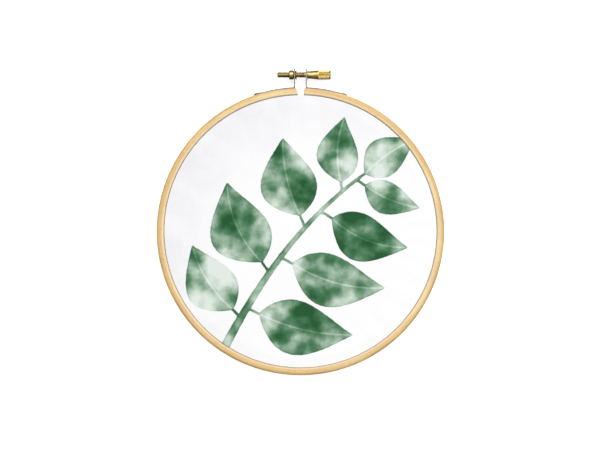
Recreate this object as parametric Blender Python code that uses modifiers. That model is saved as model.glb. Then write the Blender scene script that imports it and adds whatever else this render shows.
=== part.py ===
"""Embroidery hoop of 6 inches with a printed cotton cloth stretched in it, lying on its back.

A split outer ring of beech is drawn together by a brass thumbscrew between two sheet-metal brackets.
It clamps the cloth round a whole inner ring. Metres, +Z up. The front of the cloth faces +Z and the
screw is at +Y. The origin is the middle of the bounding box, on the surface that the hoop lies on.
"""

import math

import bmesh
import bpy
from mathutils import Matrix

# Rings. Radii are from the middle of the hoop.
OUTER_RING_INSIDE_R = 0.0752
OUTER_RING_WALL = 0.00405
OUTER_RING_DEPTH = 0.0095
OUTER_EDGE_ROUND = 0.0013
INNER_RING_WALL = 0.0040
RING_EDGE_ROUND = 0.0008
SPLIT_RIGHT_OUTER_X = 0.00235
SPLIT_RIGHT_INNER_X = 0.0017
SPLIT_LEFT_OUTER_X = -0.0024
SPLIT_LEFT_INNER_X = -0.0013
SAWN_EDGE_ROUND = 0.0004
RING_STEPS = 96

# Cloth. It is as thick as a solid sheet may be at least; the woven cotton is thinner.
CLOTH_THICK = 0.0010
CLOTH_BELOW_RING_FRONT = 0.0006
CLOTH_SHOULDER_R = 0.0006
CLOTH_SAG = 0.0006
CLOTH_SAG_POWER = 6
CLOTH_EDGE_ABOVE_BACK = 0.0006

# Room left between two pieces that touch on the real hoop.
FIT = 0.0003

# Brackets, each one strip of sheet metal. Distances across the hoop are from its middle plane.
STRIP_THICK = 0.0006
STRIP_WIDTH = 0.0071
STRIP_PROUD = 0.0003
LUG_MIDDLE_X = 0.00325
LUG_FOOT_BEND_R = 0.0010
FOOT_ANGLE = math.radians(18.2)
LEFT_FOOT_LIFT = 0.0006
RIGHT_FOOT_LIFT = 0.0004
FOOT_LIFT_ANGLE = math.radians(3.8)
TAB_BEND_R = 0.0008
TAB_LENGTH = 0.0014
TAB_SLOT_NEAR_SIDE = 0.0001

# Screw and nut, turned about the screw's axis.
SCREW_ABOVE_RING = 0.00725
SHANK_R = 0.0014
SHANK_END_X = -0.0128
SHANK_CHAMFER = 0.0003
SHOULDER_R = 0.0024
SHOULDER_LENGTH = 0.00045
NECK_R = 0.00195
GRIP_START_X = 0.00915
GRIP_END_X = 0.0167
GRIP_R = 0.00255
GRIP_CHAMFER = 0.0004
GRIP_SLOT_WIDTH = 0.0007
GRIP_SLOT_DEPTH = 0.0010
GRIP_SLOT_TURN = math.radians(30)
NUT_R = 0.0025
NUT_LENGTH = 0.00245
NUT_WALL = 0.0003
NUT_FLANGE_LENGTH = 0.0005
TURNED_STEPS = 24

# Worked out from the sizes above.
OUTER_RING_R = OUTER_RING_INSIDE_R + OUTER_RING_WALL
CLOTH_R = OUTER_RING_INSIDE_R - FIT
CLOTH_INSIDE_R = CLOTH_R - CLOTH_THICK
CLOTH_TOP = OUTER_RING_DEPTH - CLOTH_BELOW_RING_FRONT
INNER_RING_R = CLOTH_INSIDE_R - FIT
INNER_RING_INSIDE_R = INNER_RING_R - INNER_RING_WALL
INNER_RING_DEPTH = CLOTH_TOP - CLOTH_THICK - FIT
MIDDLE_Z = OUTER_RING_DEPTH / 2
STRIP_MIDDLE_R = OUTER_RING_R + STRIP_PROUD - STRIP_THICK / 2
RECESS_R = STRIP_MIDDLE_R - STRIP_THICK / 2 - FIT
SCREW_Y = OUTER_RING_R + SCREW_ABOVE_RING
LUG_TOP_Y = SCREW_Y + STRIP_WIDTH / 2
LUG_OUTSIDE_X = LUG_MIDDLE_X + STRIP_THICK / 2
LUG_INSIDE_X = LUG_MIDDLE_X - STRIP_THICK / 2
NUT_BORE_R = SHANK_R + FIT
NUT_NECK_R = NUT_BORE_R + NUT_WALL
HOOP_MIDDLE_Y = -(LUG_TOP_Y - OUTER_RING_R) / 2


def clear_scene():
    """Removes every object, so that only the hoop is left in the scene."""
    for thing in list(bpy.data.objects):
        bpy.data.objects.remove(thing, do_unlink=True)


def new_collection(name):
    """A collection linked to the scene."""
    made = bpy.data.collections.new(name)
    bpy.context.scene.collection.children.link(made)
    return made


def finish_of(name, colour, roughness, metallic=0.0):
    """A plain material with the piece's colour."""
    made = bpy.data.materials.new(name)
    made.use_nodes = True
    shader = made.node_tree.nodes["Principled BSDF"]
    shader.inputs["Base Color"].default_value = (*colour, 1.0)
    shader.inputs["Roughness"].default_value = roughness
    shader.inputs["Metallic"].default_value = metallic
    return made


def piece(name, mesh, finish, parent):
    """An object of the hoop, placed under an empty."""
    made = bpy.data.objects.new(name, mesh)
    made.data.materials.append(finish)
    made.parent = parent
    HOOP.objects.link(made)
    return made


def cutter(name, shape, parent):
    """A hidden solid that a Boolean takes away; shape is a filled bmesh."""
    mesh = bpy.data.meshes.new(name)
    shape.to_mesh(mesh)
    shape.free()
    made = bpy.data.objects.new(name, mesh)
    made.parent = parent
    made.hide_render = True
    made.display_type = "WIRE"
    CUTTERS.objects.link(made)
    return made


def box(size, at=(0.0, 0.0, 0.0), turn=Matrix.Identity(4)):
    """A box of a size, put at a place and then turned about the origin."""
    shape = bmesh.new()
    bmesh.ops.create_cube(shape, size=1.0)
    bmesh.ops.scale(shape, vec=size, verts=shape.verts)
    bmesh.ops.translate(shape, vec=at, verts=shape.verts)
    bmesh.ops.transform(shape, matrix=turn, verts=shape.verts)
    return shape


def take_away(target, tool):
    """Cuts one object's shape out of another with a Boolean modifier."""
    cut = target.modifiers.new("cut by " + tool.name, "BOOLEAN")
    cut.operation = "DIFFERENCE"
    cut.solver = "EXACT"
    cut.object = tool


def turned(name, profile, finish, parent, steps, closed=False):
    """A profile of (radius, height) points swept round the local Z axis.

    It runs down the outer side. A closed profile makes a ring, and an open one has both ends on the axis.
    """
    count = len(profile)
    corners = [(radius, 0.0, height) for radius, height in profile]
    edges = [(i, (i + 1) % count) for i in range(count if closed else count - 1)]
    mesh = bpy.data.meshes.new(name)
    mesh.from_pydata(corners, edges, [])
    made = piece(name, mesh, finish, parent)
    sweep = made.modifiers.new("sweep", "SCREW")
    sweep.axis = "Z"
    sweep.angle = math.tau
    sweep.steps = steps
    sweep.render_steps = steps
    sweep.use_merge_vertices = True
    sweep.merge_threshold = 0.00001
    sweep.use_smooth_shade = True
    return made


def round_edges(target, width):
    """Rounds every sharp edge that the object has so far."""
    bevel = target.modifiers.new("rounded edges", "BEVEL")
    bevel.width = width
    bevel.segments = 2
    bevel.limit_method = "ANGLE"
    bevel.angle_limit = math.radians(50)


def arc(middle, radius, start, end, steps):
    """Points along an arc in a plane, its two ends among them. Angles are in radians."""
    angles = [start + (end - start) * i / steps for i in range(steps + 1)]
    return [(middle[0] + radius * math.cos(a), middle[1] + radius * math.sin(a)) for a in angles]


def wooden_ring(name, inside_r, outside_r, depth, outer_round):
    """One ring of bent beech lath, its section a rectangle with round corners on the back plane."""
    quarter = math.pi / 2
    steps = 3
    outer_x, inner_x = outside_r - outer_round, inside_r + RING_EDGE_ROUND
    profile = arc((outer_x, depth - outer_round), outer_round, quarter, 0, steps)
    profile += arc((outer_x, outer_round), outer_round, 0, -quarter, steps)
    profile += arc((inner_x, RING_EDGE_ROUND), RING_EDGE_ROUND, -quarter, -2 * quarter, steps)
    profile += arc((inner_x, depth - RING_EDGE_ROUND), RING_EDGE_ROUND, 2 * quarter, quarter, steps)
    return turned(name, profile, BEECH, HOOP_MIDDLE, RING_STEPS, closed=True)


def saw_cut():
    """What the saw took out of the outer ring: more at the outside than at the inside, on both sides."""
    beyond_wall = OUTER_RING_WALL
    left_slant = (SPLIT_LEFT_OUTER_X - SPLIT_LEFT_INNER_X) / OUTER_RING_WALL
    right_slant = (SPLIT_RIGHT_OUTER_X - SPLIT_RIGHT_INNER_X) / OUTER_RING_WALL
    shape = box((1.0, 1.0, 3 * OUTER_RING_DEPTH), (0.0, 0.0, MIDDLE_Z))
    for corner in shape.verts:
        outside_wall = beyond_wall if corner.co.y > 0 else -beyond_wall - OUTER_RING_WALL
        left_x = SPLIT_LEFT_OUTER_X + left_slant * outside_wall
        right_x = SPLIT_RIGHT_OUTER_X + right_slant * outside_wall
        corner.co.x = right_x if corner.co.x > 0 else left_x
        corner.co.y = OUTER_RING_R + outside_wall
    return shape


def strip_recess(beyond_foot):
    """What is planed off the outside of the ring, so that both brackets lie nearly flush in it."""
    steps = 14
    beyond_wall = OUTER_RING_R + OUTER_RING_WALL
    end = FOOT_ANGLE + beyond_foot / STRIP_MIDDLE_R
    angles = (math.pi / 2 - end, math.pi / 2 + end)
    outline = arc((0.0, 0.0), RECESS_R, *angles, steps)
    outline += reversed(arc((0.0, 0.0), beyond_wall, *angles, steps))
    shape = bmesh.new()
    back = [shape.verts.new((x, y, -OUTER_RING_DEPTH)) for x, y in outline]
    front = [shape.verts.new((x, y, 2 * OUTER_RING_DEPTH)) for x, y in outline]
    shape.faces.new(back)
    shape.faces.new(front)
    for i, corner in enumerate(back):
        shape.faces.new((back[i - 1], corner, front[i], front[i - 1]))
    bmesh.ops.recalc_face_normals(shape, faces=shape.faces)
    return shape


def make_outer_ring():
    """The outer ring, sawn through under the screw, and cut to take the feet and tabs of the brackets."""
    ring = wooden_ring(
        "outer_ring", OUTER_RING_INSIDE_R, OUTER_RING_R, OUTER_RING_DEPTH, OUTER_EDGE_ROUND
    )
    take_away(ring, cutter("saw_cut", saw_cut(), HOOP_MIDDLE))
    round_edges(ring, SAWN_EDGE_ROUND)
    slot_far_side = TAB_BEND_R + STRIP_THICK / 2 + FIT
    take_away(ring, cutter("strip_recess", strip_recess(slot_far_side), HOOP_MIDDLE))
    slot_width = slot_far_side - TAB_SLOT_NEAR_SIDE
    slot_depth = 2 * (TAB_LENGTH + FIT)
    for side, word in ((-1, "left"), (1, "right")):
        place = (side * (TAB_SLOT_NEAR_SIDE + slot_width / 2), STRIP_MIDDLE_R - TAB_BEND_R, MIDDLE_Z)
        turn = Matrix.Rotation(-side * FOOT_ANGLE, 4, "Z")
        slot = box((slot_width, slot_depth, STRIP_WIDTH + 2 * FIT), place, turn)
        take_away(ring, cutter("tab_slot_" + word, slot, HOOP_MIDDLE))
    return ring


def make_inner_ring():
    """The inner ring, whole, which the cloth is stretched over."""
    return wooden_ring(
        "inner_ring", INNER_RING_INSIDE_R, INNER_RING_R, INNER_RING_DEPTH, RING_EDGE_ROUND
    )


def cloth_drop(radius):
    """How far the stretched cloth hangs below the inner ring's front, at a distance from the middle."""
    share = min(radius / INNER_RING_INSIDE_R, 1.0)
    return CLOTH_SAG * (1 - share**CLOTH_SAG_POWER)


def make_cloth():
    """The cloth: flat over the front, down between the rings, and trimmed just short of the back."""
    rows = 7
    free = [INNER_RING_INSIDE_R * math.sin(math.pi / 2 * i / rows) for i in range(rows + 1)]
    shoulder = (CLOTH_R - CLOTH_SHOULDER_R, CLOTH_TOP - CLOTH_SHOULDER_R)
    front = [(r, CLOTH_TOP - cloth_drop(r)) for r in free]
    front += arc(shoulder, CLOTH_SHOULDER_R, math.pi / 2, 0, 4)
    rim = [(CLOTH_R, CLOTH_EDGE_ABOVE_BACK), (CLOTH_INSIDE_R, CLOTH_EDGE_ABOVE_BACK)]
    back = [(CLOTH_INSIDE_R, CLOTH_TOP - CLOTH_THICK)]
    back += [(r, CLOTH_TOP - CLOTH_THICK - cloth_drop(r)) for r in reversed(free)]
    return turned("cloth", front + rim + back, COTTON, HOOP_MIDDLE, RING_STEPS)


def strip_line(side, lift):
    """The middle line of a bracket's strip, seen from the front, from the screw's height to its tab.

    side is -1 on the left and 1 on the right. The strip runs down beside the split, bends away from it,
    lies along the outside of the ring, rises off it by the lift, and ends in a tab bent into the wood.
    """
    bend_x = LUG_MIDDLE_X + LUG_FOOT_BEND_R
    bend_y = math.sqrt((STRIP_MIDDLE_R + LUG_FOOT_BEND_R) ** 2 - bend_x**2)
    foot_start = math.atan2(bend_x, bend_y)
    lift_start = FOOT_ANGLE - FOOT_LIFT_ANGLE
    line = [(LUG_MIDDLE_X, SCREW_Y)]
    line += arc((bend_x, bend_y), LUG_FOOT_BEND_R, math.pi, 1.5 * math.pi - foot_start, 4)
    line += arc((0.0, 0.0), STRIP_MIDDLE_R, math.pi / 2 - foot_start, math.pi / 2 - lift_start, 4)[1:]
    lift_steps = 4
    for step in range(1, lift_steps + 1):
        share = step / lift_steps
        angle = lift_start + FOOT_LIFT_ANGLE * share
        radius = STRIP_MIDDLE_R + lift * share**2 * (3 - 2 * share)
        line.append((radius * math.sin(angle), radius * math.cos(angle)))
    tab_r = STRIP_MIDDLE_R + lift - TAB_BEND_R
    tab_middle = (tab_r * math.sin(FOOT_ANGLE), tab_r * math.cos(FOOT_ANGLE))
    line += arc(tab_middle, TAB_BEND_R, math.pi / 2 - FOOT_ANGLE, -FOOT_ANGLE, 4)[1:]
    last_x, last_y = line[-1]
    tab = TAB_LENGTH + lift
    line.append((last_x - tab * math.sin(FOOT_ANGLE), last_y - tab * math.cos(FOOT_ANGLE)))
    return [(side * x, y) for x, y in line]


def make_bracket(side, word, hole_r, lift):
    """One bracket: a strip with a round end, bent from flat, with the hole that the screw passes."""
    low, high = MIDDLE_Z - STRIP_WIDTH / 2, MIDDLE_Z + STRIP_WIDTH / 2
    line = strip_line(side, lift)
    shape = bmesh.new()
    rows = [(shape.verts.new((x, y, low)), shape.verts.new((x, y, high))) for x, y in line]
    for first, second in zip(rows, rows[1:]):
        shape.faces.new((first[0], first[1], second[1], second[0]))
    steps = 12
    lug_x, tip = side * LUG_MIDDLE_X, arc((MIDDLE_Z, SCREW_Y), STRIP_WIDTH / 2, 0, math.pi, steps)
    round_end = [shape.verts.new((lug_x, y, z)) for z, y in tip[1:-1]]
    shape.faces.new([rows[0][1], *round_end, rows[0][0]])
    bmesh.ops.recalc_face_normals(shape, faces=shape.faces)
    mesh = bpy.data.meshes.new("bracket_" + word)
    shape.to_mesh(mesh)
    shape.free()
    bracket = piece("bracket_" + word, mesh, STEEL, HOOP_MIDDLE)
    thick = bracket.modifiers.new("sheet metal", "SOLIDIFY")
    thick.thickness = STRIP_THICK
    thick.offset = 0.0
    thick.use_even_offset = True
    drill = bmesh.new()
    bmesh.ops.create_cone(
        drill,
        cap_ends=True,
        segments=TURNED_STEPS,
        radius1=hole_r,
        radius2=hole_r,
        depth=6 * STRIP_THICK,
        matrix=Matrix.Translation((lug_x, SCREW_Y, MIDDLE_Z)) @ Matrix.Rotation(math.pi / 2, 4, "Y"),
    )
    take_away(bracket, cutter("drill_" + word, drill, HOOP_MIDDLE))
    return bracket


def make_nut():
    """The nut, riveted into the left lug: a body outside it, a neck in its hole and a flange inside it."""
    body_top = -LUG_OUTSIDE_X - FIT
    flange_low = -LUG_INSIDE_X + FIT
    flange_top = flange_low + NUT_FLANGE_LENGTH
    profile = [
        (NUT_R, flange_top),
        (NUT_R, flange_low),
        (NUT_NECK_R, flange_low),
        (NUT_NECK_R, body_top),
        (NUT_R, body_top),
        (NUT_R, body_top - NUT_LENGTH),
        (NUT_BORE_R, body_top - NUT_LENGTH),
        (NUT_BORE_R, flange_top),
    ]
    return turned("clamp_nut", profile, BRASS, SCREW_AXIS, TURNED_STEPS, closed=True)


def make_thumbscrew():
    """The thumbscrew, in one piece: shank, shoulder, tapered neck, and a grip with a screwdriver slot."""
    shoulder_low = LUG_OUTSIDE_X + FIT
    shoulder_top = shoulder_low + SHOULDER_LENGTH
    profile = [
        (0.0, GRIP_END_X),
        (GRIP_R - GRIP_CHAMFER, GRIP_END_X),
        (GRIP_R, GRIP_END_X - GRIP_CHAMFER),
        (GRIP_R, GRIP_START_X),
        (SHOULDER_R, GRIP_START_X),
        (NECK_R, shoulder_top),
        (SHOULDER_R, shoulder_top),
        (SHOULDER_R, shoulder_low),
        (SHANK_R, shoulder_low),
        (SHANK_R, SHANK_END_X + SHANK_CHAMFER),
        (SHANK_R - SHANK_CHAMFER, SHANK_END_X),
        (0.0, SHANK_END_X),
    ]
    screw = turned("thumbscrew", profile, BRASS, SCREW_AXIS, TURNED_STEPS)
    slot_size = (3 * GRIP_R, GRIP_SLOT_WIDTH, 2 * GRIP_SLOT_DEPTH)
    slot = box(slot_size, (0.0, 0.0, GRIP_END_X), Matrix.Rotation(-GRIP_SLOT_TURN, 4, "Z"))
    take_away(screw, cutter("grip_slot", slot, SCREW_AXIS))
    return screw


clear_scene()
HOOP = new_collection("hoop embroidery")
CUTTERS = new_collection("cutters")
BEECH = finish_of("beech", (0.82, 0.58, 0.26), 0.55)
COTTON = finish_of("cotton", (0.92, 0.93, 0.94), 0.9)
STEEL = finish_of("plated steel", (0.62, 0.60, 0.57), 0.35, 1.0)
BRASS = finish_of("brass", (0.72, 0.55, 0.22), 0.3, 1.0)

HOOP_MIDDLE = bpy.data.objects.new("hoop_middle", None)
HOOP_MIDDLE.location = (0.0, HOOP_MIDDLE_Y, 0.0)
HOOP.objects.link(HOOP_MIDDLE)

# Local +Z of this empty points along the screw, towards its grip.
SCREW_AXIS = bpy.data.objects.new("screw_axis", None)
SCREW_AXIS.parent = HOOP_MIDDLE
SCREW_AXIS.location = (0.0, SCREW_Y, MIDDLE_Z)
SCREW_AXIS.rotation_euler = (0.0, math.pi / 2, 0.0)
HOOP.objects.link(SCREW_AXIS)

make_outer_ring()
make_inner_ring()
make_cloth()
make_bracket(-1, "left", NUT_NECK_R + FIT, LEFT_FOOT_LIFT)
make_bracket(1, "right", SHANK_R + FIT, RIGHT_FOOT_LIFT)
make_nut()
make_thumbscrew()
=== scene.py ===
"""Looks of an embroidery hoop with a printed cloth in it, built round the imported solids.

The hoop lies on its back, face up, with its screw at +Y. Lengths are in metres. The sections follow the
hoop as it is put together: inner ring, cloth, outer ring, brackets, nut, screw, then the studio.
"""

import math

import bmesh
import bpy
import numpy as np
from mathutils import Matrix, Vector


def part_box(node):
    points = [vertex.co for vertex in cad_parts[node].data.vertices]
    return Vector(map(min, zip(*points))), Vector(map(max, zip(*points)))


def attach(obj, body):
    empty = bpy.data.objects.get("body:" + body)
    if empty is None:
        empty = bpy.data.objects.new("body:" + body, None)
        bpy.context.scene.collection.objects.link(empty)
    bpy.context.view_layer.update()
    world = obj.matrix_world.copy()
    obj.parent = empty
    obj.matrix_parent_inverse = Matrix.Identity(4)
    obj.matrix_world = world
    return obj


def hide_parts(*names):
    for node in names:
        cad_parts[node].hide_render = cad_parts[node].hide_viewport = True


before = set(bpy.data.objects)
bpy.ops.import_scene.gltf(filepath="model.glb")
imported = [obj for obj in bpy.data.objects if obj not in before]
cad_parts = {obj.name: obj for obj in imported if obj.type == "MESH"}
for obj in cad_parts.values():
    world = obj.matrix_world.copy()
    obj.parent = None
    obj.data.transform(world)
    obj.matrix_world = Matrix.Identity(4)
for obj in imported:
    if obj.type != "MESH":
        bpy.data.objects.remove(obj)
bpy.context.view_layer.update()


# Inner ring
# A lath of beech, steamed and bent into a whole ring, its two ends glued in a long slanting joint. The
# cloth is stretched over it, so it shows from behind only. Sanded and left bare.

MM = 0.001

inner_low, inner_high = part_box("inner_ring")
HOOP_X = (inner_low.x + inner_high.x) / 2
HOOP_Y = (inner_low.y + inner_high.y) / 2
# The ring's solid leaves room for a cloth 1 mm thick. The cotton is 0.3 mm thick, so the lath reaches
# further out and up.
INNER_RING_R = (inner_high.x - inner_low.x) / 2 + 1.15 * MM
INNER_RING_WALL = 4.6 * MM
INNER_RING_DEPTH = inner_high.z - inner_low.z + 0.9 * MM
INNER_EDGE_ROUNDING = 0.8 * MM
LATH_ROWS = 360
LATH_UNEVEN = 0.05 * MM
LATH_WAVES = (31 * MM, 67 * MM, 113 * MM, 201 * MM)
# Reach of the painted shade along the outside edges; place and reach of the painted highlight inside.
LATH_EDGE_SHADE_REACH = 1.7 * MM
LATH_HIGHLIGHT_FROM_WALL = 0.75 * MM
LATH_HIGHLIGHT_REACH = 0.75 * MM
JOINT_ANGLE = math.radians(205)
JOINT_LENGTH = 14 * MM
JOINT_GAP = 0.06 * MM


def linear(colour):
    """An sRGB hex colour as the linear red, green, blue and alpha that a shader takes."""
    parts = [int(colour[i : i + 2], 16) / 255 for i in (1, 3, 5)]
    return (*[p / 12.92 if p <= 0.04045 else ((p + 0.055) / 1.055) ** 2.4 for p in parts], 1.0)


def add_node(tree, kind, settings, links):
    """Adds a shader node with its settings and links, and gives it back.

    A setting is one of the node's own properties or an input, by name or number. Stops are a ramp's
    places and colours. A link takes a node's first output, or the output that is given.
    """
    node = tree.nodes.new("ShaderNode" + kind)
    for name, value in settings.items():
        if name == "stops":
            ramp = node.color_ramp.elements
            for _ in value[2:]:
                ramp.new(0.5)
            for stop, (place, colour) in zip(ramp, value):
                stop.position = place
                stop.color = linear(colour)
        elif isinstance(name, str) and hasattr(node, name):
            setattr(node, name, value)
        else:
            node.inputs[name].default_value = value
    for name, source in links.items():
        socket = source if isinstance(source, bpy.types.NodeSocket) else source.outputs[0]
        tree.links.new(socket, node.inputs[name])
    return node


def new_material(name, **sockets):
    """A material with a Principled shader, some of whose sockets hold one value all over."""
    made = bpy.data.materials.new(name)
    made.use_nodes = True
    for socket, value in sockets.items():
        made.node_tree.nodes["Principled BSDF"].inputs[socket.replace("_", " ")].default_value = value
    return made


def beech():
    """Steamed beech, sanded and unfinished: pale straw with soft growth bands along the lath, fine fibre
    and short brown ray flecks. It is matt. Painted shade darkens it along the rounded outside edges,
    unevenly in patches, and a painted highlight makes it paler just in from the inside edges."""
    made = new_material("sanded beech", Specular_IOR_Level=0.4)
    tree = made.node_tree
    shader = tree.nodes["Principled BSDF"]
    place = add_node(tree, "Attribute", {"attribute_name": "lath_place"}, {}).outputs["Vector"]
    edge_shade = add_node(tree, "Attribute", {"attribute_name": "lath_handled"}, {}).outputs["Fac"]
    # Where the painted highlight falls, just in from the inside edges.
    sanded = add_node(tree, "Attribute", {"attribute_name": "lath_sanded"}, {}).outputs["Fac"]

    # Growth bands, patches, fibre and fleck cells, each with its size in mm along, across and up the lath.
    places = []
    for sizes in ((110, 1.5, 1.7), (17, 9, 9), (9, 0.3, 0.3), (3.4, 0.7, 0.7)):
        scale = [1 / (size * MM) for size in sizes]
        places.append(add_node(tree, "VectorMath", {"operation": "MULTIPLY", 1: scale}, {0: place}))
    band_place, patch_place, fibre_place, fleck_place = places
    bands = add_node(tree, "TexNoise", {"Scale": 1.0, "Detail": 2.0, "Roughness": 0.55, "Distortion": 0.2},
                     {"Vector": band_place})
    patches = add_node(tree, "TexNoise", {"Scale": 1.0, "Detail": 1.0, "Roughness": 0.5},
                       {"Vector": patch_place})
    fibre = add_node(tree, "TexNoise", {"Scale": 1.0, "Detail": 4.0, "Roughness": 0.6},
                     {"Vector": fibre_place})

    # A ray fleck is 0.1 mm wide on real beech, and is drawn four times as wide, so that it shows.
    fleck_cells = add_node(tree, "TexVoronoi", {"Scale": 1.0, "Randomness": 1.0}, {"Vector": fleck_place})
    fleck_near = add_node(tree, "MapRange", {1: 0.16, 2: 0.34, 3: 1.0, 4: 0.0},
                          {0: fleck_cells.outputs["Distance"]})
    fleck_chance = add_node(tree, "SeparateXYZ", {}, {0: fleck_cells.outputs["Color"]})
    fleck_kept = add_node(tree, "Math", {"operation": "GREATER_THAN", 1: 0.45}, {0: fleck_chance})
    flecks = add_node(tree, "Math", {"operation": "MULTIPLY"}, {0: fleck_near, 1: fleck_kept})

    straw = add_node(tree, "ValToRGB", {"stops": ((0.36, "#deb374"), (0.5, "#edc887"), (0.64, "#f7dca1"))},
                     {0: bands})
    warm = add_node(tree, "MapRange", {1: 0.42, 2: 0.62, 3: 0.0, 4: 0.45}, {0: patches})
    toned = add_node(tree, "Mix", {"data_type": "RGBA", 7: linear("#e6bd84")},
                     {0: warm, 6: straw.outputs[0]})
    fibre_shade = add_node(tree, "MapRange", {1: 0.3, 2: 0.7, 3: 0.9, 4: 1.07}, {0: fibre})
    grained = add_node(tree, "VectorMath", {"operation": "SCALE"},
                       {0: toned.outputs[2], "Scale": fibre_shade})
    fleck_strength = add_node(tree, "Math", {"operation": "MULTIPLY", 1: 0.45}, {0: flecks})
    flecked = add_node(tree, "Mix", {"data_type": "RGBA", 7: linear("#b98c56")},
                       {0: fleck_strength, 6: grained})
    # Painted shade darkens the wood along its rounded outside edges, unevenly in patches.
    edge_shade_patches = add_node(tree, "MapRange", {1: 0.3, 2: 0.7, 3: 0.6, 4: 1.0}, {0: patches})
    edge_shade_amount = add_node(tree, "Math", {"operation": "MULTIPLY"}, {0: edge_shade, 1: edge_shade_patches})
    edge_shaded = add_node(tree, "Mix", {"data_type": "RGBA", 7: linear("#b08a52")},
                    {0: edge_shade_amount, 6: flecked.outputs[2]})
    # A painted highlight makes the wood paler just in from its inside edges.
    highlight_amount = add_node(tree, "Math", {"operation": "MULTIPLY", 1: 0.5}, {0: sanded})
    highlighted = add_node(tree, "Mix", {"data_type": "RGBA", 7: linear("#fdf0d6")},
                     {0: highlight_amount, 6: edge_shaded.outputs[2]})
    tree.links.new(highlighted.outputs[2], shader.inputs["Base Color"])

    rough = add_node(tree, "MapRange", {1: 0.3, 2: 0.7, 3: 0.42, 4: 0.6}, {0: fibre})
    tree.links.new(rough.outputs[0], shader.inputs["Roughness"])
    hollows = add_node(tree, "Math", {"operation": "SUBTRACT"}, {0: fibre, 1: fleck_strength})
    bump = add_node(tree, "Bump", {"Strength": 0.5, "Distance": 0.05 * MM}, {"Height": hollows})
    tree.links.new(bump.outputs[0], shader.inputs["Normal"])
    return made


def uneven(places, seed):
    """A slow wander from 0 to 1 along a lath, from waves whose lengths share no repeat."""
    waves = sum(np.sin(places * math.tau / length + seed * 1.7 * length / MM) for length in LATH_WAVES)
    return 0.5 + waves / (2 * len(LATH_WAVES))


def lath_section(inside_r, outside_r, depth, inner_rounding, outer_rounding):
    """A lath's cross-section as (radius, height) points, its four corners rounded."""
    corner_steps = 5
    flat_steps = 4
    corners = (
        (outside_r - outer_rounding, depth - outer_rounding, outer_rounding, 90),
        (outside_r - outer_rounding, outer_rounding, outer_rounding, 0),
        (inside_r + inner_rounding, inner_rounding, inner_rounding, -90),
        (inside_r + inner_rounding, depth - inner_rounding, inner_rounding, -180),
    )
    points = []
    for middle_r, middle_z, rounding, start in corners:
        for step in range(corner_steps + 1):
            angle = math.radians(start - 90 * step / corner_steps)
            points.append((middle_r + rounding * math.cos(angle), middle_z + rounding * math.sin(angle)))
    with_flats = []
    for i, point in enumerate(points):
        with_flats.append(point)
        if i % (corner_steps + 1) == corner_steps:
            following = points[(i + 1) % len(points)]
            for step in range(1, flat_steps):
                share = step / flat_steps
                with_flats.append(tuple(p + (f - p) * share for p, f in zip(point, following)))
    return with_flats


def bent_lath(name, section, start_at, end_at, seed):
    """A lath bent round the hoop, its section swept clockwise from one sawn end to the other.

    start_at and end_at give the angle clockwise from the screw at which the lath ends, for a radius. A
    row has its share of the way round, how far it lies from the end and how far it is drawn in there.
    """
    end_rows = ((0.0, 0.35 * MM), (0.1 * MM, 0.12 * MM), (0.35 * MM, 0.0))
    rows = [(0.0, along, inset) for along, inset in end_rows]
    rows += [(i / LATH_ROWS, 0.0, 0.0) for i in range(1, LATH_ROWS)]
    rows += [(1.0, -along, inset) for along, inset in reversed(end_rows)]
    radius, height = (np.array(column) for column in zip(*section))
    middle_r = (radius.min() + radius.max()) / 2
    middle_z = (height.min() + height.max()) / 2
    start = np.array([start_at(r) for r in radius])
    end = np.array([end_at(r) for r in radius])
    verts = []
    for share, along, inset in rows:
        angle = start * (1 - share) + end * share + along / radius
        arc = angle * middle_r
        r = radius - np.sign(radius - middle_r) * inset
        z = height - np.sign(height - middle_z) * inset
        r = r - np.where(radius > middle_r, LATH_UNEVEN * uneven(arc, seed), 0.0)
        z = z - np.where(height > middle_z, LATH_UNEVEN * uneven(arc, seed + 1), 0.0)
        verts += list(zip(HOOP_X + r * np.sin(angle), HOOP_Y + r * np.cos(angle), z))
    count = len(section)
    faces = [tuple(range(count)), tuple(range(len(verts) - 1, len(verts) - 1 - count, -1))]
    for row in range(len(rows) - 1):
        low, high = row * count, (row + 1) * count
        for i in range(count):
            after = (i + 1) % count
            faces.append((low + i, high + i, high + after, low + after))
    return finished_mesh(name, verts, faces, {})


def mark_lath(lath, section, start_at, seed):
    """Gives each point of a lath its place along, across and up the wood, its painted shade, which is
    most at the outside corners, and its painted highlight, which is most just in from the inside corners."""
    radius, height = (np.array(column) for column in zip(*section))
    middle_r = (radius.min() + radius.max()) / 2
    seam_slack = 0.02 * MM
    places, edge_shade, sanded = [], [], []
    for vert in lath.data.vertices:
        x, y, z = vert.co.x - HOOP_X, vert.co.y - HOOP_Y, vert.co.z
        r = math.hypot(x, y)
        turn = (math.atan2(x, y) - start_at(r) + seam_slack) % math.tau
        places.append((turn * middle_r + seed, r - middle_r, z))
        from_face = max(0.0, min(z - height.min(), height.max() - z))
        from_outside = math.hypot(max(0.0, radius.max() - r), from_face)
        from_inside = math.hypot(max(0.0, r - radius.min()), from_face)
        # Painted shade at the outside corners; a painted highlight in a band just in from the inside
        # corners.
        edge_shade.append(max(0.0, 1 - from_outside / LATH_EDGE_SHADE_REACH))
        sanded.append(max(0.0, 1 - abs(from_inside - LATH_HIGHLIGHT_FROM_WALL) / LATH_HIGHLIGHT_REACH))
    add_attributes(lath.data, {"lath_place": places, "lath_handled": edge_shade, "lath_sanded": sanded})


def add_attributes(mesh, attributes):
    """Stores values on a mesh's points under their names: one number or one vector for each point."""
    for label, values in attributes.items():
        values = np.array(values, np.float32)
        kind, field = ("FLOAT", "value") if values.ndim == 1 else ("FLOAT_VECTOR", "vector")
        mesh.attributes.new(label, kind, "POINT").data.foreach_set(field, values.ravel())


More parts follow.
